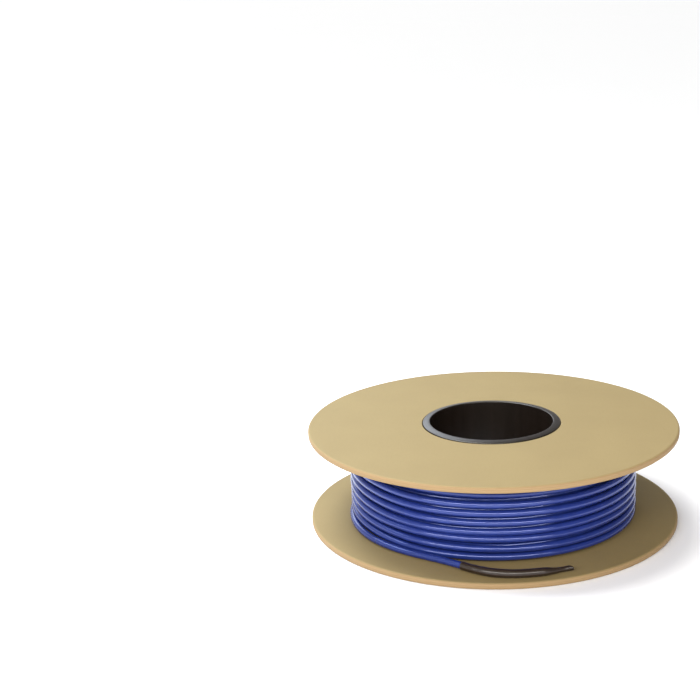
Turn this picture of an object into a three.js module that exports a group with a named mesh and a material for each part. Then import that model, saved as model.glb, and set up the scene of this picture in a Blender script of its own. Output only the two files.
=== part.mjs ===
// A reel of floor heating cable, stored standing on one flange, in millimetres with +Z up.
// The origin is on the reel's axis, on the plane that it stands on.
// The free end of the cable comes off the bottom of the winding at the left and runs along the front.
import * as THREE from 'three';

// Spool: two round fibreboard flanges on a plastic core tube.
const flangeDiameter = 228;
const flangeThickness = 3.9;
const flangeEdgeRadius = 1.3;
const flangeGap = 52.6;
const coreBoreDiameter = 76;
const coreWall = 4.6;
const coreRimProud = 1.1;
const coreRimRadius = 1.6;
const coreFootRadius = 0.5;

// Cable: its diameter, and how it is wound on the core.
const cableDiameter = 4.2;
const woundLayers = 12;
const outerTurns = 10;
// Each layer sinks into the grooves of the one below, so it adds less than a full diameter.
const layerRisePerDiameter = 0.9;
// The part of each outer turn that stands free of its neighbours, as an angle from straight out.
const turnShownAngle = THREE.MathUtils.degToRad(66);
// The same for the ridges that the layers make on the ends, as an angle from straight up or down.
const layerShownAngle = THREE.MathUtils.degToRad(48);

// Shrunk sleeve that seals the cable's end.
const sleeveDiameter = 5;
const sleeveTipWidth = 4.2;
const sleeveTipHeight = 2.4;
const sleeveTipLength = 5;
const sleeveTaperLength = 13;
const sleeveTipSlant = 1.3;

// Room left between pieces that touch.
const touchClearance = 0.3;

// Fineness of the round surfaces.
const flangeSegments = 72;
const coreSegments = 48;
const windingSegments = 48;
const roundingSteps = 3;
const turnSteps = 4;
const layerSteps = 2;
const cableSides = 10;
const cableSteps = 22;
const sleeveSides = 12;
const sleeveSteps = 24;

// The route of the free end, seen from above: beside the winding's foot, then away from it.
const tailRoute = [
  [-67.6, -60.9],
  [-63.2, -65.5],
  [-58.5, -69.7],
  [-54.1, -73.2],
  [-49.6, -76.3],
  [-44.9, -79.2],
  [-40.0, -81.9],
  [-35.2, -84.6],
  [-30.6, -87.3],
  [-26.4, -90.0],
  [-22.0, -93.0],
  [-17.4, -96.2],
];

// The sleeve takes up the route where the cable's own stretch stops.
const sleeveRoute = [
  [-17.4, -96.2],
  [-11.5, -100.2],
  [-4.5, -104.0],
  [1.5, -105.9],
  [8.0, -106.6],
  [14.8, -106.4],
  [25.9, -104.3],
  [34.9, -101.6],
  [43.6, -98.3],
];

// Sizes and heights that follow from the ones above.
const flangeRadius = flangeDiameter / 2;
const boreRadius = coreBoreDiameter / 2;
const coreRadius = boreRadius + coreWall;
const flangeHoleRadius = coreRadius + touchClearance;
const upperFlangeBase = flangeThickness + flangeGap;
const spoolHeight = upperFlangeBase + flangeThickness;
const coreTop = spoolHeight + coreRimProud;
const cableRadius = cableDiameter / 2;
const windingBore = coreRadius + touchClearance;
const layerRise = cableDiameter * layerRisePerDiameter;
const windingRadius = windingBore + cableDiameter + (woundLayers - 1) * layerRise;
const windingBase = flangeThickness + touchClearance;
const windingTop = upperFlangeBase - touchClearance;
const cableAxisHeight = windingBase + cableRadius;
const sleeveAxisHeight = windingBase + sleeveDiameter / 2;

// Points of an arc, ends included, around (x, y), from one angle to another.
function arcPoints(x, y, radius, fromAngle, toAngle, steps) {
  const points = [];
  for (let i = 0; i <= steps; i += 1) {
    const angle = fromAngle + ((toAngle - fromAngle) * i) / steps;
    points.push(new THREE.Vector2(x + radius * Math.cos(angle), y + radius * Math.sin(angle)));
  }
  return points;
}

// A closed profile, with its radius as x and its height as y, turned about the Z axis.
function turned(profile, segments) {
  const closed = [...profile, profile[0].clone()];
  const geometry = new THREE.LatheGeometry(closed, segments);
  geometry.rotateX(Math.PI / 2);
  return geometry;
}

// A flange: a flat ring whose outer edge is softly rounded above and below.
function flangeGeometry() {
  const round = Math.min(flangeEdgeRadius, flangeThickness * 0.45);
  const edgeCentre = flangeRadius - round;
  const profile = [
    new THREE.Vector2(flangeHoleRadius, 0),
    ...arcPoints(edgeCentre, round, round, -Math.PI / 2, 0, roundingSteps),
    ...arcPoints(edgeCentre, flangeThickness - round, round, 0, Math.PI / 2, roundingSteps),
    new THREE.Vector2(flangeHoleRadius, flangeThickness),
  ];
  return turned(profile, flangeSegments);
}

// The core tube: open right through, with a rounded rim that stands proud of the upper flange.
function coreGeometry() {
  const rim = Math.min(coreRimRadius, coreWall * 0.45);
  const foot = Math.min(coreFootRadius, coreWall * 0.45);
  const profile = [
    ...arcPoints(boreRadius + foot, foot, foot, Math.PI, 1.5 * Math.PI, 1),
    ...arcPoints(coreRadius - foot, foot, foot, -Math.PI / 2, 0, 1),
    ...arcPoints(coreRadius - rim, coreTop - rim, rim, 0, Math.PI / 2, roundingSteps),
    ...arcPoints(boreRadius + rim, coreTop - rim, rim, Math.PI / 2, Math.PI, roundingSteps),
  ];
  return turned(profile, coreSegments);
}

// The ridge that one layer makes on an end of the winding, around the angle that faces outwards there.
function layerRidge(radius, height, facing) {
  const fromAngle = facing - layerShownAngle;
  const toAngle = facing + layerShownAngle;
  return arcPoints(radius, height, cableRadius, fromAngle, toAngle, layerSteps);
}

// The wound cable as one turned ring. Each of its outer turns is a round ridge, and so is each of
// its layers on both ends, where the ring meets the flanges.
function windingGeometry() {
  const turnPitch = (windingTop - windingBase - cableDiameter) / (outerTurns - 1);
  const lowestAxis = windingBase + cableRadius;
  const highestAxis = windingTop - cableRadius;
  const layerAxes = [];
  for (let layer = 0; layer < woundLayers; layer += 1) {
    layerAxes.push(windingBore + cableRadius + layer * layerRise);
  }
  const outerAxis = layerAxes.pop();
  const down = -Math.PI / 2;
  const up = Math.PI / 2;

  const profile = [new THREE.Vector2(windingBore, lowestAxis)];
  for (const axis of layerAxes) {
    profile.push(...layerRidge(axis, lowestAxis, down));
  }
  for (let turn = 0; turn < outerTurns; turn += 1) {
    const height = lowestAxis + turn * turnPitch;
    const fromAngle = turn === 0 ? down - layerShownAngle : -turnShownAngle;
    const toAngle = turn === outerTurns - 1 ? up + layerShownAngle : turnShownAngle;
    profile.push(...arcPoints(outerAxis, height, cableRadius, fromAngle, toAngle, turnSteps));
  }
  for (const axis of layerAxes.reverse()) {
    profile.push(...layerRidge(axis, highestAxis, up));
  }
  profile.push(new THREE.Vector2(windingBore, highestAxis));
  return turned(profile, windingSegments);
}

// The height of the free end's axis: on the flange, and rising to the sleeve's axis at its far end.
function tailHeight(pointIndex) {
  const risePoints = 4;
  const firstRising = tailRoute.length - 1 - risePoints;
  const share = Math.max(0, pointIndex - firstRising) / risePoints;
  return THREE.MathUtils.lerp(cableAxisHeight, sleeveAxisHeight, share);
}

// The free stretch of cable: a round section carried along its route. It stops short of the sleeve.
function tailGeometry() {
  const points = tailRoute.map(([x, y], i) => new THREE.Vector3(x, y, tailHeight(i)));
  const [beforeLast, last] = points.slice(-2);
  const backwards = beforeLast.clone().sub(last).normalize();
  last.addScaledVector(backwards, touchClearance);
  const section = new THREE.Shape();
  for (let side = 0; side < cableSides; side += 1) {
    const angle = (2 * Math.PI * side) / cableSides;
    const x = cableRadius * Math.cos(angle);
    const y = cableRadius * Math.sin(angle);
    if (side === 0) section.moveTo(x, y);
    else section.lineTo(x, y);
  }
  section.closePath();
  return new THREE.ExtrudeGeometry(section, {
    steps: cableSteps,
    extrudePath: new THREE.CatmullRomCurve3(points),
    curveSegments: 1,
  });
}

// The end sleeve: oval rings carried along its route. It is round over most of its length, then
// tapers to a flat tip that is cut off at a slant. Its underside stays level on the flange.
function sleeveGeometry() {
  const route = new THREE.CatmullRomCurve3(sleeveRoute.map(([x, y]) => new THREE.Vector3(x, y, 0)));
  const length = route.getLength();
  const positions = [];
  for (let step = 0; step <= sleeveSteps; step += 1) {
    const share = step / sleeveSteps;
    const place = route.getPointAt(share);
    const along = route.getTangentAt(share);
    const across = new THREE.Vector3(along.y, -along.x, 0).normalize();
    const taperStart = length - sleeveTipLength - sleeveTaperLength;
    const flattening = THREE.MathUtils.smoothstep(share * length, taperStart, taperStart + sleeveTaperLength);
    const halfWidth = THREE.MathUtils.lerp(sleeveDiameter, sleeveTipWidth, flattening) / 2;
    const halfHeight = THREE.MathUtils.lerp(sleeveDiameter, sleeveTipHeight, flattening) / 2;
    for (let side = 0; side < sleeveSides; side += 1) {
      const angle = (2 * Math.PI * side) / sleeveSides;
      const outward = Math.cos(angle);
      const point = place.clone().addScaledVector(across, halfWidth * outward);
      point.addScaledVector(along, sleeveTipSlant * flattening * outward);
      point.z = windingBase + halfHeight * (1 + Math.sin(angle));
      positions.push(point.x, point.y, point.z);
    }
  }
  const collarCentre = positions.length / 3;
  const collar = sleeveRoute[0];
  positions.push(collar[0], collar[1], windingBase + sleeveDiameter / 2);
  const tipCentre = collarCentre + 1;
  const tip = sleeveRoute[sleeveRoute.length - 1];
  positions.push(tip[0], tip[1], windingBase + sleeveTipHeight / 2);

  const triangles = [];
  for (let side = 0; side < sleeveSides; side += 1) {
    const next = (side + 1) % sleeveSides;
    for (let step = 0; step < sleeveSteps; step += 1) {
      const near = step * sleeveSides;
      const far = near + sleeveSides;
      triangles.push(near + side, far + next, near + next);
      triangles.push(near + side, far + side, far + next);
    }
    const lastRing = sleeveSteps * sleeveSides;
    triangles.push(collarCentre, side, next);
    triangles.push(tipCentre, lastRing + next, lastRing + side);
  }
  const geometry = new THREE.BufferGeometry();
  geometry.setAttribute('position', new THREE.Float32BufferAttribute(positions, 3));
  geometry.setIndex(triangles);
  geometry.computeVertexNormals();
  return geometry;
}

// Finishes: pale brown fibreboard, black core plastic, blue cable sheath and black shrunk sleeve.
const fibreboard = new THREE.MeshStandardMaterial({ color: '#c9b48a', roughness: 0.8, metalness: 0 });
const corePlastic = new THREE.MeshStandardMaterial({ color: '#1c1714', roughness: 0.35, metalness: 0 });
const cableSheath = new THREE.MeshStandardMaterial({ color: '#2f3d8c', roughness: 0.3, metalness: 0 });
const shrinkSleeve = new THREE.MeshStandardMaterial({ color: '#2a201a', roughness: 0.4, metalness: 0 });

function namedMesh(name, geometry, material, height = 0) {
  const mesh = new THREE.Mesh(geometry, material);
  mesh.name = name;
  mesh.position.z = height;
  return mesh;
}

const spool = new THREE.Group();
spool.add(namedMesh('lower_flange', flangeGeometry(), fibreboard));
spool.add(namedMesh('upper_flange', flangeGeometry(), fibreboard, upperFlangeBase));
spool.add(namedMesh('core_tube', coreGeometry(), corePlastic));

const cable = new THREE.Group();
cable.add(namedMesh('cable_winding', windingGeometry(), cableSheath));
cable.add(namedMesh('cable_tail', tailGeometry(), cableSheath));
cable.add(namedMesh('end_sleeve', sleeveGeometry(), shrinkSleeve));

const heatingCableReel = new THREE.Group();
heatingCableReel.add(spool, cable);

export default heatingCableReel;
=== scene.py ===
import math

import bpy
import numpy as np
from mathutils import Matrix, Vector


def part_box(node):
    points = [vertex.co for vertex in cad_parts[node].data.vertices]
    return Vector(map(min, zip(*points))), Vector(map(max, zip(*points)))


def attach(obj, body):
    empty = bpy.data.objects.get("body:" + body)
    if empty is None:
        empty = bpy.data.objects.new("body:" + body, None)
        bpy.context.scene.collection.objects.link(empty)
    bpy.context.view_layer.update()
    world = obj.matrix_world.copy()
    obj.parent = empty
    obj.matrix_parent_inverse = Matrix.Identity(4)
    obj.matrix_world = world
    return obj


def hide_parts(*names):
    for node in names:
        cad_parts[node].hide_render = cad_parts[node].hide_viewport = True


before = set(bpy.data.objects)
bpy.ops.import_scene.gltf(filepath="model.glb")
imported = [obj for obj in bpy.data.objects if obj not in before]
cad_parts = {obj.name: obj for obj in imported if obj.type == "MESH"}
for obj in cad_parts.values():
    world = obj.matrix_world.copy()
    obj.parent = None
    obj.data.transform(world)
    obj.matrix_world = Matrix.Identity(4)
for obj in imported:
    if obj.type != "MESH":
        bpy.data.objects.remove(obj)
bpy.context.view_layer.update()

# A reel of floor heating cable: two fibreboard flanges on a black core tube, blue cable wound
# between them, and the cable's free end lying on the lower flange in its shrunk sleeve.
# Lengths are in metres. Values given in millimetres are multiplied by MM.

MM = 0.001

# Sizes of the spool, from the frame
lower_low, lower_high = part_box("lower_flange")
upper_low, upper_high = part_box("upper_flange")
core_low, core_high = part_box("core_tube")
winding_low, winding_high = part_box("cable_winding")
FLANGE_RADIUS = lower_high[0]
LOWER_UNDERSIDE = lower_low[2]
LOWER_FACE = lower_high[2]
UPPER_UNDERSIDE = upper_low[2]
UPPER_FACE = upper_high[2]
CORE_RADIUS = core_high[0]
CORE_FOOT = core_low[2]
CORE_TOP = core_high[2]
WINDING_RADIUS = winding_high[0]
WINDING_BASE = winding_low[2]
WINDING_TOP = winding_high[2]

# Sizes that the part's source gives and the boxes don't show
BORE_RADIUS = 38 * MM
TOUCH_CLEARANCE = 0.3 * MM
CABLE_RADIUS = 2.1 * MM
SLEEVE_RADIUS = 2.5 * MM
SLEEVE_TIP_LENGTH = 5 * MM
SLEEVE_TAPER = 13 * MM

# The sleeve's tip is narrower, higher and cut at more of a slant here than in the part's source
SLEEVE_TIP_HALF_WIDTH = 1.4 * MM
SLEEVE_TIP_HALF_HEIGHT = 1.6 * MM
SLEEVE_TIP_SLANT = 1.7 * MM

# The free end's route seen from above, in millimetres: the same points as in the part's source
TAIL_ROUTE = [
    (-67.6, -60.9), (-63.2, -65.5), (-58.5, -69.7), (-54.1, -73.2), (-49.6, -76.3), (-44.9, -79.2),
    (-40.0, -81.9), (-35.2, -84.6), (-30.6, -87.3), (-26.4, -90.0), (-22.0, -93.0), (-17.4, -96.2),
]
SLEEVE_ROUTE = [
    (-17.4, -96.2), (-11.5, -100.2), (-4.5, -104.0), (1.5, -105.9), (8.0, -106.6),
    (14.8, -106.4), (25.9, -104.3), (34.9, -101.6), (43.6, -98.3),
]
# Where the cable comes from before the route starts, which gives its direction there
TAIL_COMES_FROM = (-71.6, -56.0)

CABLE_SIDES = 24


# Camera

def place_camera():
    """The photograph's viewing angle, fitted to the reel's outlines in it. The camera stands in
    front of the reel, 22 degrees up from it. It is tilted down by less than that and turned a
    little to the left, so that the reel is low in the picture and right of the middle."""
    focal_pixels = 1344.95
    image_pixels = 700
    turn_left = 6.165
    tilt_down = 15.011
    roll_clockwise = 2.322
    distance_back = 7.013 * FLANGE_RADIUS
    height = 2.835 * FLANGE_RADIUS

    data = bpy.data.cameras.new("photo_camera")
    data.sensor_width = 36.0
    data.lens = data.sensor_width * focal_pixels / image_pixels
    camera = bpy.data.objects.new("photo_camera", data)
    bpy.context.scene.collection.objects.link(camera)
    turn = Matrix.Rotation(math.radians(turn_left), 4, "Z")
    tilt = Matrix.Rotation(math.radians(90 - tilt_down), 4, "X")
    roll = Matrix.Rotation(math.radians(-roll_clockwise), 4, "Z")
    camera.matrix_world = Matrix.Translation((0, -distance_back, height)) @ turn @ tilt @ roll
    bpy.context.scene.camera = camera


# Meshes from grids of points

def grid_object(name, grid, along, closed_along=False, capped=False):
    """A mesh whose vertices are grid[row, column]. Columns run round a section and close on
    themselves. Rows run along the piece and close on themselves too if closed_along, else an
    end cap of one flat face can close each end. The UV map holds, in metres, the length along
    the piece as V, which is given for each row, and the length round its section as U."""
    rows, columns, _ = grid.shape
    row_steps = rows if closed_along else rows - 1
    row, column = np.meshgrid(np.arange(row_steps), np.arange(columns), indexing="ij")
    row_next = (row + 1) % rows
    column_next = (column + 1) % columns
    corners = np.stack([
        row * columns + column,
        row * columns + column_next,
        row_next * columns + column_next,
        row_next * columns + column,
    ], axis=-1).reshape(-1, 4)

    around = np.linalg.norm(np.roll(grid, -1, axis=1) - grid, axis=2).mean(axis=0)
    around = np.concatenate([[0.0], np.cumsum(around)])
    u = np.stack([around[column], around[column + 1], around[column + 1], around[column]], axis=-1)
    along_rows = np.append(along, along[-1] + (along[-1] - along[-2]))
    v = np.stack([along_rows[row], along_rows[row], along_rows[row + 1], along_rows[row + 1]], axis=-1)
    uv = np.stack([u, v], axis=-1).reshape(-1, 2)

    loops = corners.reshape(-1)
    starts = np.arange(len(corners)) * 4
    if capped:
        first = np.arange(columns)[::-1]
        last = (rows - 1) * columns + np.arange(columns)
        starts = np.append(starts, [len(loops), len(loops) + columns])
        loops = np.concatenate([loops, first, last])
        uv = np.concatenate([uv, np.zeros((2 * columns, 2))])
    smooth = np.arange(len(starts)) < len(corners)

    mesh = bpy.data.meshes.new(name)
    mesh.vertices.add(rows * columns)
    mesh.vertices.foreach_set("co", grid.reshape(-1))
    mesh.loops.add(len(loops))
    mesh.loops.foreach_set("vertex_index", loops.astype(np.int32))
    mesh.polygons.add(len(starts))
    mesh.polygons.foreach_set("loop_start", starts.astype(np.int32))
    mesh.update(calc_edges=True)
    mesh.uv_layers.new(name="lengths").data.foreach_set("uv", uv.reshape(-1))
    mesh.polygons.foreach_set("use_smooth", smooth)
    mesh.validate()
    piece = bpy.data.objects.new(name, mesh)
    bpy.context.scene.collection.objects.link(piece)
    return piece


def turned_piece(name, profile, segments, lift=None):
    """A ring turned about the Z axis. profile is a closed list of (radius, height) running up the
    outside and down the inside. Vertex (angle, point) is (radius cos angle, radius sin angle,
    height). lift(radius, angle), if given, is added to the height."""
    profile = np.asarray(profile)
    angle = np.linspace(0, 2 * np.pi, segments, endpoint=False)[:, None]
    radius = profile[None, :, 0]
    height = np.broadcast_to(profile[None, :, 1], (segments, len(profile)))
    if lift is not None:
        height = height + lift(radius, angle)
    grid = np.stack([radius * np.cos(angle), radius * np.sin(angle), height], axis=-1)
    mean_radius = profile[:, 0].mean()
    return grid_object(name, grid, mean_radius * angle[:, 0], closed_along=True)


def arc(x, y, radius, from_degrees, to_degrees, steps):
    """Points (x + radius cos a, y + radius sin a) for a from one angle to the other."""
    a = np.radians(np.linspace(from_degrees, to_degrees, steps + 1))
    return np.stack([x + radius * np.cos(a), y + radius * np.sin(a)], axis=-1)


def smooth_curve(points, per_span):
    """A Catmull-Rom curve through all points but the first and last, which only give its end
    directions: on each span, a cubic whose slopes are half the step between the neighbours."""
    points = np.asarray(points, dtype=float)
    before, start, end, after = points[:-3], points[1:-2], points[2:-1], points[3:]
    t = np.linspace(0, 1, per_span, endpoint=False)[None, :, None]
    slope_start = (end - before)[:, None, :] / 2
    slope_end = (after - start)[:, None, :] / 2
    start, end = start[:, None, :], end[:, None, :]
    curve = ((2 * t ** 3 - 3 * t ** 2 + 1) * start + (t ** 3 - 2 * t ** 2 + t) * slope_start
             + (3 * t ** 2 - 2 * t ** 3) * end + (t ** 3 - t ** 2) * slope_end)
    return np.concatenate([curve.reshape(-1, points.shape[1]), points[-2:-1]])


def lengths_along(path):
    """The length from the first point to each point of a path."""
    steps = np.linalg.norm(np.diff(path, axis=0), axis=1)
    return np.concatenate([[0.0], np.cumsum(steps)])


def directions_along(path):
    """Unit vectors at each point of a path: forwards, to the right, and up square to both."""
    forward = np.gradient(path, axis=0)
    forward /= np.linalg.norm(forward, axis=1, keepdims=True)
    right = np.cross(forward, (0.0, 0.0, 1.0))
    right /= np.linalg.norm(right, axis=1, keepdims=True)
    return forward, right, np.cross(right, forward)


def at_lengths(lengths, path_lengths, vectors):
    """The vectors given along a path, read off at other lengths by straight interpolation."""
    return np.stack([np.interp(lengths, path_lengths, vectors[:, i]) for i in range(3)], axis=-1)


def round_section_along(path, radius, sides):
    """Rings of a round section square to a path: vertex (row, side) is path[row] +
    radius[row] (cos a right + sin a up), where a goes once round."""
    _, right, up = directions_along(path)
    a = np.linspace(0, 2 * np.pi, sides, endpoint=False)[None, :, None]
    radius = np.broadcast_to(radius, len(path))[:, None, None]
    return path[:, None, :] + radius * (np.cos(a) * right[:, None, :] + np.sin(a) * up[:, None, :])


def ease(x):
    """0 below 0, 1 above 1, and 3x^2 - 2x^3 between."""
    x = np.clip(x, 0, 1)
    return x * x * (3 - 2 * x)


def hump(x, middle, spread):
    """A bell-shaped hump: e to the power of minus the square of (x - middle) / spread."""
    return np.exp(-((x - middle) / spread) ** 2)


# Spool

def flange_profile(underside, face):
    """A flat ring's section: rim rounded above and below, hole edges barely broken. Extra points
    beside each corner keep the flat faces flat under smooth shading."""
    rim_round = 1.3 * MM
    rim_steps = 6
    hole_break = 0.25 * MM
    hole_steps = 2
    beside_corner = 0.4 * MM
    face_margin = 4 * MM
    points_across_face = 12

    hole = CORE_RADIUS + TOUCH_CLEARANCE
    edge = FLANGE_RADIUS - rim_round
    spread = np.linspace(hole + face_margin, edge - face_margin, points_across_face)
    radii = [hole + hole_break + beside_corner, *spread, edge - beside_corner]
    return np.concatenate([
        arc(hole + hole_break, underside + hole_break, hole_break, 180, 270, hole_steps),
        [(radius, underside) for radius in radii],
        arc(edge, underside + rim_round, rim_round, -90, 0, rim_steps),
        arc(edge, face - rim_round, rim_round, 0, 90, rim_steps),
        [(radius, face) for radius in radii[::-1]],
        arc(hole + hole_break, face - hole_break, hole_break, 90, 180, hole_steps),
    ])


def make_flanges():
    """The upper flange is warped by a sixth of a millimetre at its rim, twice round, as damp
    fibreboard is. The lower one lies flat."""
    segments = 288
    warp_height = 0.16 * MM
    warp_phase = 0.6

    def warp(radius, angle):
        return warp_height * (radius / FLANGE_RADIUS) ** 2 * np.cos(2 * angle + warp_phase)

    lower_section = flange_profile(LOWER_UNDERSIDE, LOWER_FACE)
    upper_section = flange_profile(UPPER_UNDERSIDE, UPPER_FACE)
    lower = turned_piece("lower_flange_board", lower_section, segments)
    upper = turned_piece("upper_flange_board", upper_section, segments, warp)
    return lower, upper


def make_core():
    """The core tube, turned from its section: a straight bore and wall. The rim is highest at the
    bore, where it is barely broken, and falls away outwards as a shallow cone to a rounded edge."""
    segments = 192
    rim_round = 0.5 * MM
    rim_steps = 6
    cone_fall = 0.55 * MM
    foot_round = 0.5 * MM
    foot_steps = 3
    beside_corner = 0.5 * MM

    outer_rim = CORE_TOP - cone_fall - rim_round
    bore_rim = CORE_TOP - rim_round
    foot = CORE_FOOT + foot_round
    section = np.concatenate([
        arc(BORE_RADIUS + foot_round, foot, foot_round, 180, 270, foot_steps),
        arc(CORE_RADIUS - foot_round, foot, foot_round, -90, 0, foot_steps),
        [(CORE_RADIUS, outer_rim - beside_corner)],
        arc(CORE_RADIUS - rim_round, outer_rim, rim_round, 0, 80, rim_steps),
        arc(BORE_RADIUS + rim_round, bore_rim, rim_round, 90, 180, rim_steps),
        [(BORE_RADIUS, bore_rim - beside_corner)],
        [(BORE_RADIUS, foot + beside_corner)],
    ])
    return turned_piece("core_tube_wall", section, segments)


# Winding

# Heights of the turns' axes above the floor where they pass the front, in millimetres, from the top
OUTER_TURN_HEIGHTS = [51.6, 45.9, 39.3, 33.9, 28.4, 22.9, 18.5, 12.7, 7.9]
UNDER_TURN_HEIGHTS = [51.8, 46.3, 40.8, 34.8, 29.0, 23.5, 18.2, 12.9, 7.4]
TOP_TURN_HEIGHT = 54.1
FOOT_TURN_HEIGHT = 6.3

# Angles are in degrees about the reel's axis and grow along the cable, by 360 for each turn. The
# last outer turn passes the front at FRONT, and the free end starts at the left after it.
FRONT = 270
TAIL_START_ANGLE = 222 + 360

# Each outer turn drops to the next mostly in one stretch at the left, between these two angles, and
# these shares of the drop are made by its start and by its end
STEP_DOWN_ANGLES = (170, 240)
STEP_DOWN_SHARES = (0.35, 1.0)


def outer_turn_heights(passes):
    """Angles and heights that the outer layer goes through, from the first of its passes of the
    front to the last."""
    angles = [passes[0]]
    heights = [OUTER_TURN_HEIGHTS[0]]
    for passing, high, low in zip(passes[1:], OUTER_TURN_HEIGHTS, OUTER_TURN_HEIGHTS[1:]):
        for at_angle, share in zip(STEP_DOWN_ANGLES, STEP_DOWN_SHARES):
            angles.append(passing - FRONT + at_angle)
            heights.append(high + share * (low - high))
        angles.append(passing)
        heights.append(low)
    return angles, heights


def winding_path():
    """The last two layers of the winding and the way down to the lower flange, as one cable.
    At angle a it is at (radius cos a, radius sin a, height). The under layer climbs by one turn's
    spacing for each turn. At the top it eases outwards by one cable diameter and the outer layer
    comes down again. At the foot it eases outwards once more, to where the free end starts, and a
    thinner plug carries on inside that. Gives the path and the cable's radius at each point."""
    degrees_per_point = 3.0
    blur_points = 15
    plug_share = 0.85
    # In degrees: how far before the under layer's lowest pass the cable starts, how long it takes
    # to cross to the outer layer, and where it reaches its lowest and begins to leave the winding
    before_lowest_pass = 120
    crossing = 100
    foot = FRONT + 130
    leaves_winding = 170 + 360

    outer_axis = WINDING_RADIUS - CABLE_RADIUS
    under_axis = outer_axis - 2 * CABLE_RADIUS
    tail_axis = math.hypot(*TAIL_ROUTE[0]) * MM
    last_turn = len(OUTER_TURN_HEIGHTS) - 1
    outer_passes = [FRONT + 360 * (i - last_turn) for i in range(last_turn + 1)]
    top = outer_passes[0] - 180
    under_passes = [top - 180 - 360 * i for i in range(len(UNDER_TURN_HEIGHTS))]
    start = under_passes[-1] - before_lowest_pass
    plug_end = TAIL_START_ANGLE + 2 * degrees_per_point
    angle = np.arange(start, plug_end + degrees_per_point / 2, degrees_per_point)

    outer_angles, outer_heights = outer_turn_heights(outer_passes)
    known_angles = [start] + under_passes[::-1] + [top] + outer_angles + [foot, plug_end]
    known_heights = ([FOOT_TURN_HEIGHT] + UNDER_TURN_HEIGHTS[::-1] + [TOP_TURN_HEIGHT] + outer_heights
                     + [FOOT_TURN_HEIGHT, FOOT_TURN_HEIGHT])
    height = np.interp(angle, known_angles, known_heights)
    blur = np.hanning(blur_points)
    padded = np.pad(height, blur_points // 2, mode="edge")
    height = np.convolve(padded, blur / blur.sum(), mode="valid")

    radius = np.full(len(angle), under_axis)
    radius += (outer_axis - under_axis) * ease((angle - (top - crossing / 2)) / crossing)
    way_out = (angle - leaves_winding) / (TAIL_START_ANGLE - leaves_winding)
    radius += (tail_axis - outer_axis) * ease(way_out)

    # The outer layer isn't quite even: it wanders by about a tenth of a millimetre. This fades in
    # before the top and out before the free end.
    turn = np.radians(angle)
    loose = ease((angle - (top - 200)) / 200) * ease((TAIL_START_ANGLE - angle) / 90)
    wander_up = 0.14 * np.sin(2.31 * turn + 0.7) + 0.07 * np.sin(5.17 * turn)
    wander_out = 0.10 * np.sin(1.63 * turn + 2.0)
    height = (height + loose * wander_up) * MM
    radius = radius + loose * wander_out * MM

    path = np.stack([radius * np.cos(turn), radius * np.sin(turn), height], axis=-1)
    return path, np.where(angle > TAIL_START_ANGLE, plug_share, 1.0) * CABLE_RADIUS


def make_winding():
    """The last two layers as one round section carried along the cable's path, and the layers
    inside them as one ring with a round ridge for each turn. The ridges stop one cable radius
    short of the under layer, so that they only show as dark blue behind its slits."""
    path, radius = winding_path()
    rings = round_section_along(path, radius, CABLE_SIDES)
    turns = grid_object("cable_turns", rings, lengths_along(path), capped=True)

    segments = 96
    ridges = 12
    ridge_steps = 6
    ridge_half_angle = 75
    inner_radius = CORE_RADIUS + TOUCH_CLEARANCE
    ridge_axis = WINDING_RADIUS - 6 * CABLE_RADIUS
    lowest = WINDING_BASE + CABLE_RADIUS
    spacing = (WINDING_TOP - WINDING_BASE - 2 * CABLE_RADIUS) / (ridges - 1)
    ridge_heights = [lowest + i * spacing for i in range(ridges)]
    section = np.concatenate([
        [(inner_radius, WINDING_BASE)],
        *[arc(ridge_axis, height, CABLE_RADIUS, -ridge_half_angle, ridge_half_angle, ridge_steps)
          for height in ridge_heights],
        [(inner_radius, WINDING_TOP)],
    ])
    inner = turned_piece("inner_cable_layers", section, segments)
    return turns, inner


# Free end

def make_tail():
    """The free stretch, a round section carried along its route. Over its last points it rises from
    the cable's height to the middle of the thicker sleeve, and it ends inside the sleeve's mouth."""
    inside_sleeve = 1.6 * MM
    rise_points = 4
    points_per_span = 8
    sleeve_axis = WINDING_BASE + SLEEVE_RADIUS
    cable_axis = WINDING_BASE + CABLE_RADIUS

    last = len(TAIL_ROUTE) - 1
    heights = [cable_axis + (sleeve_axis - cable_axis) * max(0, i - last + rise_points) / rise_points
               for i in range(last + 1)]
    points = [(x * MM, y * MM, z) for (x, y), z in zip(TAIL_ROUTE, heights)]
    before = (TAIL_COMES_FROM[0] * MM, TAIL_COMES_FROM[1] * MM, cable_axis)
    after = (SLEEVE_ROUTE[1][0] * MM, SLEEVE_ROUTE[1][1] * MM, sleeve_axis)
    path = smooth_curve([before] + points + [after], points_per_span)
    into = np.array(after) - path[-1]
    into *= inside_sleeve / np.linalg.norm(into)
    path = np.concatenate([path, [path[-1] + into]])
    lengths = lengths_along(path)
    rings = round_section_along(path, CABLE_RADIUS, CABLE_SIDES)
    tail = grid_object("cable_free_end", rings, lengths, capped=True)
    return tail, path, lengths[-1]


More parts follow.
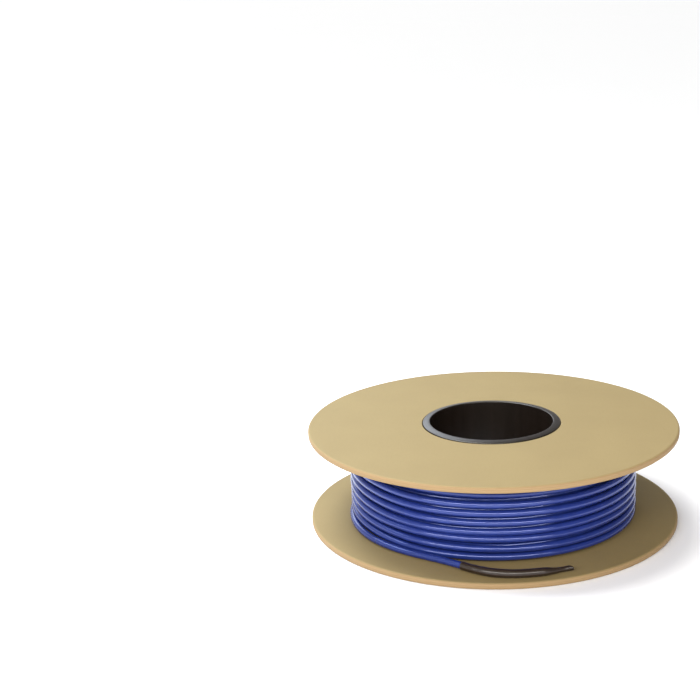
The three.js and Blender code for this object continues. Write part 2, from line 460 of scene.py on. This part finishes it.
def sleeve_stations(length):
    """Where the sleeve's rings lie along its route, the radius of each before the sleeve is
    flattened, the share that the rounding of the tip leaves of it, and whether it lies within the
    mouth's depth. From the middle of the mouth's closed bottom the rings go out over the lip,
    along the sleeve and in over the tip."""
    mouth_depth = 2.0 * MM
    mouth_radius = CABLE_RADIUS + 0.06 * MM
    mouth_middle = 0.3 * MM
    lip_round = (SLEEVE_RADIUS - mouth_radius) / 2
    lip_turn = np.radians(np.linspace(0, 180, 9))
    body = np.linspace(0.6 * MM, length - 0.5 * MM, 150)
    tip_round = 0.2 * MM
    tip_shrink = 0.15
    tip_turn = np.radians([0, 22, 45, 68, 84])

    station = np.concatenate([
        [mouth_depth, mouth_depth, mouth_depth / 2],
        lip_round * (1 - np.sin(lip_turn)),
        body,
        length - tip_round + tip_round * np.sin(tip_turn),
    ])
    half = np.concatenate([
        [mouth_middle, mouth_radius, mouth_radius],
        mouth_radius + lip_round * (1 - np.cos(lip_turn)),
        np.full(len(body) + len(tip_turn), SLEEVE_RADIUS),
    ])
    shrink = np.ones(len(station))
    shrink[-len(tip_turn):] = 1 - (1 - np.cos(tip_turn)) * tip_shrink
    return station, half, shrink, station <= mouth_depth


def make_sleeve():
    """Oval rings carried along the sleeve's route. The half height and width shrink to the tip,
    which is cut at a slant. The underside stays level on the flange, and the far side stays
    nearly straight."""
    points_per_span = 12
    sides = 32
    far_side_shift = 1.4

    points = [(x * MM, y * MM, 0.0) for x, y in SLEEVE_ROUTE]
    before = (2 * np.array(points[0]) - np.array(points[1])).tolist()
    after = (2 * np.array(points[-1]) - np.array(points[-2])).tolist()
    route = smooth_curve([before] + points + [after], points_per_span)
    route_lengths = lengths_along(route)
    length = route_lengths[-1]
    station, half, shrink, at_mouth = sleeve_stations(length)

    # Away from its ends the sleeve has shrunk a little more. The sealed joint under it swells it,
    # and shallow ripples are left near the mouth, each 6.6 mm long, which is 2 pi times their
    # scale. All three are shares of the radius.
    on_body = ease(station / (2 * MM)) * ease((length - station) / (6 * MM))
    thinning = 0.035
    swell = 0.05 * hump(station, 19 * MM, 9 * MM)
    ripple_scale = 1.05 * MM
    ripple = 0.018 * np.sin(station / ripple_scale) * hump(station, 9 * MM, 7 * MM)
    half = half * (1 + on_body * (swell - thinning + ripple))

    # The rounding of the tip shrinks each ring about the tip's middle, and so lifts its underside.
    # The rings at the mouth share one middle with the cable inside them.
    flatten = ease((station - (length - SLEEVE_TIP_LENGTH - SLEEVE_TAPER)) / SLEEVE_TAPER)
    half_width = (half + (SLEEVE_TIP_HALF_WIDTH - SLEEVE_RADIUS) * flatten) * shrink
    half_height = (half + (SLEEVE_TIP_HALF_HEIGHT - SLEEVE_RADIUS) * flatten) * shrink
    underside = WINDING_BASE + (SLEEVE_TIP_HALF_HEIGHT - half_height) * (shrink < 1)
    middle_height = np.where(at_mouth, WINDING_BASE + SLEEVE_RADIUS, underside + half_height)

    route_forward, route_right, _ = directions_along(route)
    centre = at_lengths(station, route_lengths, route)
    forward = at_lengths(station, route_lengths, route_forward)
    right = at_lengths(station, route_lengths, route_right)

    a = np.linspace(0, 2 * np.pi, sides, endpoint=False)[None, :]
    shift = (SLEEVE_TIP_HALF_WIDTH - SLEEVE_RADIUS) * flatten * far_side_shift
    sideways = shift[:, None] + half_width[:, None] * np.cos(a)
    slant = (SLEEVE_TIP_SLANT * flatten)[:, None] * np.cos(a)
    grid = centre[:, None, :] + right[:, None, :] * sideways[..., None]
    grid = grid + forward[:, None, :] * slant[..., None]
    grid[..., 2] = middle_height[:, None] + half_height[:, None] * np.sin(a)
    return grid_object("shrunk_end_sleeve", grid, lengths_along(grid[:, 0, :]), capped=True)


# Materials

def linear(hex_colour):
    """An sRGB hex value, such as '#c9b48a', as linear red, green, blue and alpha."""
    values = [int(hex_colour[i:i + 2], 16) / 255 for i in (1, 3, 5)]
    return [v / 12.92 if v <= 0.04045 else ((v + 0.055) / 1.055) ** 2.4 for v in values] + [1.0]


def add(tree, kind, inputs, **settings):
    """Adds a node, sets its settings, and fills its inputs with values or links. An input is named,
    or numbered where the node has several of one name: a Mix node's share is 0 and its colours
    are 6 and 7, and its colour comes out at 2."""
    node = tree.nodes.new(kind)
    for name, value in settings.items():
        setattr(node, name, value)
    for socket, value in inputs.items():
        if isinstance(value, bpy.types.NodeSocket):
            tree.links.new(value, node.inputs[socket])
        else:
            node.inputs[socket].default_value = value
    return node


def blank_material(name):
    """A material with only a Principled shader, which its caller dresses."""
    material = bpy.data.materials.new(name)
    material.use_nodes = True
    tree = material.node_tree
    tree.nodes.clear()
    shader = add(tree, "ShaderNodeBsdfPrincipled", {})
    add(tree, "ShaderNodeOutputMaterial", {"Surface": shader.outputs[0]})
    return material, tree, shader


def per_metre(size_mm):
    """The texture scale at which one feature is size_mm millimetres across."""
    return 1 / (size_mm * MM)


def kraft_fibreboard():
    """Kraft-faced fibreboard, pressed in sheets and cut to a disc. To the eye it is matt pale
    brown paper with faint clouds, fine fibres and a few darker flecks, and its cut edge is a
    little lighter and warmer and shows the pressed layers. Real fibres and layers are finer than
    these and wouldn't show at the photograph's distance."""
    material, tree, shader = blank_material("kraft_fibreboard")
    place = add(tree, "ShaderNodeTexCoord", {}).outputs["Object"]
    stretched = add(tree, "ShaderNodeMapping", {"Vector": place, "Scale": (1.0, 0.22, 1.0)}).outputs[0]

    clouds = add(tree, "ShaderNodeTexNoise", {
        "Vector": place, "Scale": per_metre(38), "Detail": 3.0,
    }).outputs[0]
    cloud_share = add(tree, "ShaderNodeMapRange", {
        "Value": clouds, "From Min": 0.3, "From Max": 0.7,
    }).outputs[0]
    clouded = add(tree, "ShaderNodeMix", {
        0: cloud_share, 6: linear("#84734d"), 7: linear("#887750"),
    }, data_type="RGBA").outputs[2]

    fibres = add(tree, "ShaderNodeTexNoise", {
        "Vector": stretched, "Scale": per_metre(1.3), "Detail": 4.0, "Roughness": 0.65,
    }).outputs[0]
    fibre_share = add(tree, "ShaderNodeMapRange", {
        "Value": fibres, "From Min": 0.35, "From Max": 0.75, "To Max": 0.195,
    }).outputs[0]
    fibrous = add(tree, "ShaderNodeMix", {
        0: fibre_share, 6: clouded, 7: linear("#7c6d47"),
    }, data_type="RGBA").outputs[2]

    flecks = add(tree, "ShaderNodeTexNoise", {
        "Vector": stretched, "Scale": per_metre(2.6), "Detail": 2.0,
    }).outputs[0]
    fleck_share = add(tree, "ShaderNodeMapRange", {
        "Value": flecks, "From Min": 0.70, "From Max": 0.76, "To Max": 0.065,
    }).outputs[0]
    face = add(tree, "ShaderNodeMix", {
        0: fleck_share, 6: fibrous, 7: linear("#6f5b39"),
    }, data_type="RGBA").outputs[2]

    # A wave texture has one band for each tenth of pi
    layers = add(tree, "ShaderNodeTexWave", {
        "Vector": place, "Scale": math.pi / 10 * per_metre(1.0856),
        "Distortion": 0.6, "Detail": 2.0, "Detail Scale": 2.0,
    }, bands_direction="Z").outputs["Fac"]
    layer_share = add(tree, "ShaderNodeMapRange", {
        "Value": layers, "From Min": 0.1, "From Max": 0.9,
    }).outputs[0]
    edge = add(tree, "ShaderNodeMix", {
        0: layer_share, 6: linear("#8f7652"), 7: linear("#947b57"),
    }, data_type="RGBA").outputs[2]

    # The cut edge is where the surface doesn't lie flat
    normal = add(tree, "ShaderNodeNewGeometry", {}).outputs["Normal"]
    upward = add(tree, "ShaderNodeSeparateXYZ", {"Vector": normal}).outputs["Z"]
    flatness = add(tree, "ShaderNodeMath", {0: upward}, operation="ABSOLUTE").outputs[0]
    edge_share = add(tree, "ShaderNodeMapRange", {
        "Value": flatness, "From Min": 0.55, "From Max": 0.9, "To Min": 1.0, "To Max": 0.0,
    }).outputs[0]
    colour = add(tree, "ShaderNodeMix", {0: edge_share, 6: face, 7: edge}, data_type="RGBA").outputs[2]
    relief = add(tree, "ShaderNodeMix", {0: edge_share, 6: fibres, 7: layers}, data_type="RGBA").outputs[2]
    bump = add(tree, "ShaderNodeBump", {"Height": relief, "Strength": 0.15, "Distance": 0.05 * MM})

    tree.links.new(colour, shader.inputs["Base Color"])
    tree.links.new(bump.outputs[0], shader.inputs["Normal"])
    shader.inputs["Roughness"].default_value = 0.72
    shader.inputs["IOR"].default_value = 1.45
    return material


def extruded_black_plastic():
    """Black polystyrene extruded as a tube and cut to length. To the eye it is a warm black with a
    clear gloss and faint draw lines down the bore, drawn coarser than real ones so that they show."""
    material, tree, shader = blank_material("extruded_black_polystyrene")
    place = add(tree, "ShaderNodeTexCoord", {}).outputs["Object"]
    drawn = add(tree, "ShaderNodeMapping", {"Vector": place, "Scale": (1.0, 1.0, 0.02)}).outputs[0]
    lines = add(tree, "ShaderNodeTexNoise", {
        "Vector": drawn, "Scale": per_metre(1.6), "Detail": 3.0,
    }).outputs[0]
    line_share = add(tree, "ShaderNodeMapRange", {
        "Value": lines, "From Min": 0.3, "From Max": 0.7,
    }).outputs[0]
    colour = add(tree, "ShaderNodeMix", {
        0: line_share, 6: linear("#120c08"), 7: linear("#18110c"),
    }, data_type="RGBA").outputs[2]
    roughness = add(tree, "ShaderNodeMapRange", {"Value": lines, "To Min": 0.26, "To Max": 0.34})
    bump = add(tree, "ShaderNodeBump", {"Height": lines, "Strength": 0.25, "Distance": 0.05 * MM})

    tree.links.new(colour, shader.inputs["Base Color"])
    tree.links.new(roughness.outputs[0], shader.inputs["Roughness"])
    tree.links.new(bump.outputs[0], shader.inputs["Normal"])
    shader.inputs["IOR"].default_value = 1.55
    return material


def blue_cable_sheath():
    """Blue PVC extruded over the cable. To the eye it is a deep even blue with a clear gloss, faint
    draw lines along it, and small duller rubs where turns have touched. The lines are drawn
    coarser than real ones so that they show. Real PVC's IOR is about 1.53. It is set higher here,
    and its mirrored light bluish, because the photograph's bright lines are that strong."""
    material, tree, shader = blank_material("extruded_blue_pvc")
    coordinates = add(tree, "ShaderNodeTexCoord", {})
    drawn = add(tree, "ShaderNodeMapping", {
        "Vector": coordinates.outputs["UV"], "Scale": (1.0, 0.02, 1.0),
    }).outputs[0]
    lines = add(tree, "ShaderNodeTexNoise", {
        "Vector": drawn, "Scale": per_metre(0.8), "Detail": 2.0,
    }).outputs[0]
    rubs = add(tree, "ShaderNodeTexNoise", {
        "Vector": coordinates.outputs["Object"], "Scale": per_metre(5), "Detail": 4.0, "Roughness": 0.6,
    }).outputs[0]
    rub_share = add(tree, "ShaderNodeMapRange", {
        "Value": rubs, "From Min": 0.3, "From Max": 0.75,
    }).outputs[0]
    colour = add(tree, "ShaderNodeMix", {
        0: rub_share, 6: linear("#1b2a6b"), 7: linear("#1f3077"),
    }, data_type="RGBA").outputs[2]
    roughness = add(tree, "ShaderNodeMapRange", {"Value": rub_share, "To Min": 0.16, "To Max": 0.20})
    bump = add(tree, "ShaderNodeBump", {"Height": lines, "Strength": 0.06, "Distance": 0.02 * MM})

    tree.links.new(colour, shader.inputs["Base Color"])
    tree.links.new(roughness.outputs[0], shader.inputs["Roughness"])
    tree.links.new(bump.outputs[0], shader.inputs["Normal"])
    shader.inputs["IOR"].default_value = 1.8
    shader.inputs["Specular Tint"].default_value = linear("#b9c6ff")
    return material


def shrunk_polyolefin():
    """Black polyolefin tube shrunk with hot air. To the eye it is a brown-black satin with soft
    uneven gloss and faint ripples round it."""
    material, tree, shader = blank_material("heat_shrunk_polyolefin")
    place = add(tree, "ShaderNodeTexCoord", {}).outputs["UV"]
    round_it = add(tree, "ShaderNodeMapping", {"Vector": place, "Scale": (0.25, 1.0, 1.0)}).outputs[0]
    ripples = add(tree, "ShaderNodeTexNoise", {
        "Vector": round_it, "Scale": per_metre(1.4), "Detail": 3.0,
    }).outputs[0]
    ripple_share = add(tree, "ShaderNodeMapRange", {
        "Value": ripples, "From Min": 0.3, "From Max": 0.75,
    }).outputs[0]
    colour = add(tree, "ShaderNodeMix", {
        0: ripple_share, 6: linear("#221811"), 7: linear("#2a1f17"),
    }, data_type="RGBA").outputs[2]
    roughness = add(tree, "ShaderNodeMapRange", {"Value": ripples, "To Min": 0.26, "To Max": 0.36})
    bump = add(tree, "ShaderNodeBump", {"Height": ripples, "Strength": 0.15, "Distance": 0.06 * MM})

    tree.links.new(colour, shader.inputs["Base Color"])
    tree.links.new(roughness.outputs[0], shader.inputs["Roughness"])
    tree.links.new(bump.outputs[0], shader.inputs["Normal"])
    shader.inputs["IOR"].default_value = 1.5
    return material


# Studio

def make_floor():
    """A plain pale floor. Far behind the reel it rises slowly, so that it fills the picture. It is
    a touch cool, which the warm light from above makes white."""
    half = 400.0
    rise_from = 12.0
    rise = 30.0
    corners = [(x, y, z) for y, z in [(-half, 0), (rise_from, 0), (half, rise)] for x in (-half, half)]
    mesh = bpy.data.meshes.new("studio_floor")
    mesh.from_pydata(corners, [], [(0, 1, 3, 2), (2, 3, 5, 4)])
    floor = bpy.data.objects.new("studio_floor", mesh)
    bpy.context.scene.collection.objects.link(floor)
    material, _, shader = blank_material("pale_studio_floor")
    shader.inputs["Base Color"].default_value = linear("#f6f8ff")
    shader.inputs["Roughness"].default_value = 0.6
    mesh.materials.append(material)


def make_surround():
    """A white surround, brighter at the left than at the right. Low down it is as bright as the
    floor, so that no dark line shows between them."""
    left_strength = 0.66
    right_strength = 0.18
    low_strength = 1.0
    world = bpy.data.worlds.new("studio_surround")
    world.use_nodes = True
    tree = world.node_tree
    background = tree.nodes["Background"]
    background.inputs["Color"].default_value = linear("#ffffff")
    direction = add(tree, "ShaderNodeTexCoord", {}).outputs["Generated"]
    parts = add(tree, "ShaderNodeSeparateXYZ", {"Vector": direction}).outputs
    sideways = add(tree, "ShaderNodeMapRange", {
        "Value": parts["X"], "From Min": -0.4, "From Max": 0.3,
        "To Min": left_strength, "To Max": right_strength,
    }).outputs[0]
    low_down = add(tree, "ShaderNodeMapRange", {
        "Value": parts["Z"], "From Min": 0.07, "From Max": 0.12, "To Min": low_strength, "To Max": 0.0,
    }).outputs[0]
    strength = add(tree, "ShaderNodeMath", {0: sideways, 1: low_down}, operation="MAXIMUM").outputs[0]
    tree.links.new(strength, background.inputs["Strength"])
    bpy.context.scene.world = world


def make_overhead():
    """One wide, slightly warm light from above and behind at the left."""
    shines_towards = Vector((0.32, -0.32, -1.0))
    data = bpy.data.lights.new("overhead_soft", "SUN")
    data.energy = 2.5
    data.color = (1.0, 0.975, 0.885)
    data.angle = math.radians(28)
    light = bpy.data.objects.new("overhead_soft", data)
    bpy.context.scene.collection.objects.link(light)
    light.matrix_world = shines_towards.to_track_quat("-Z", "Y").to_matrix().to_4x4()


def soft_box(name, place, width, height, watts, colour):
    """A rectangular soft box at place, facing the middle of the reel."""
    middle_of_reel = Vector((0.0, 0.0, 0.03))
    data = bpy.data.lights.new(name, "AREA")
    data.shape = "RECTANGLE"
    data.size = width
    data.size_y = height
    data.energy = watts
    data.color = colour
    light = bpy.data.objects.new(name, data)
    bpy.context.scene.collection.objects.link(light)
    turned = (middle_of_reel - Vector(place)).to_track_quat("-Z", "Y").to_matrix().to_4x4()
    light.matrix_world = Matrix.Translation(place) @ turned


def make_soft_boxes():
    """A long low strip in front draws the bright line on each turn. The core's rim mirrors a cool
    box at the left and a larger one far behind it."""
    soft_box("front_strip", place=(-0.1, -1.25, 0.68), width=2.8, height=0.13, watts=33,
             colour=(1.0, 0.95, 0.88))
    soft_box("left_box", place=(-0.32, 0.05, 0.45), width=0.3, height=0.3, watts=2.6,
             colour=(0.76, 0.87, 1.0))
    soft_box("back_left_box", place=(-0.58, 1.5, 0.85), width=1.0, height=0.7, watts=6,
             colour=(0.84, 0.91, 1.0))


# The reel, put together

place_camera()

tail, tail_path, tail_length = make_tail()
sleeve = make_sleeve()
lower_board, upper_board = make_flanges()
core_wall = make_core()
turns, inner_layers = make_winding()

fibreboard = kraft_fibreboard()
core_plastic = extruded_black_plastic()
sheath = blue_cable_sheath()
shrink_tube = shrunk_polyolefin()

for piece, node, slot, material in [
    (lower_board, "lower_flange", "fibreboard", fibreboard),
    (upper_board, "upper_flange", "fibreboard", fibreboard),
    (core_wall, "core_tube", "core_plastic", core_plastic),
    (turns, "cable_winding", "cable_sheath", sheath),
    (inner_layers, "cable_winding", "cable_sheath", sheath),
    (tail, "cable_tail", "cable_sheath", sheath),
    (sleeve, "end_sleeve", "shrink_sleeve", shrink_tube),
]:
    piece.data.materials.append(material)
    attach(piece, "root")
    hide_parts(node)

make_floor()
make_surround()
make_overhead()
make_soft_boxes()
bpy.context.scene.view_settings.view_transform = "Standard"
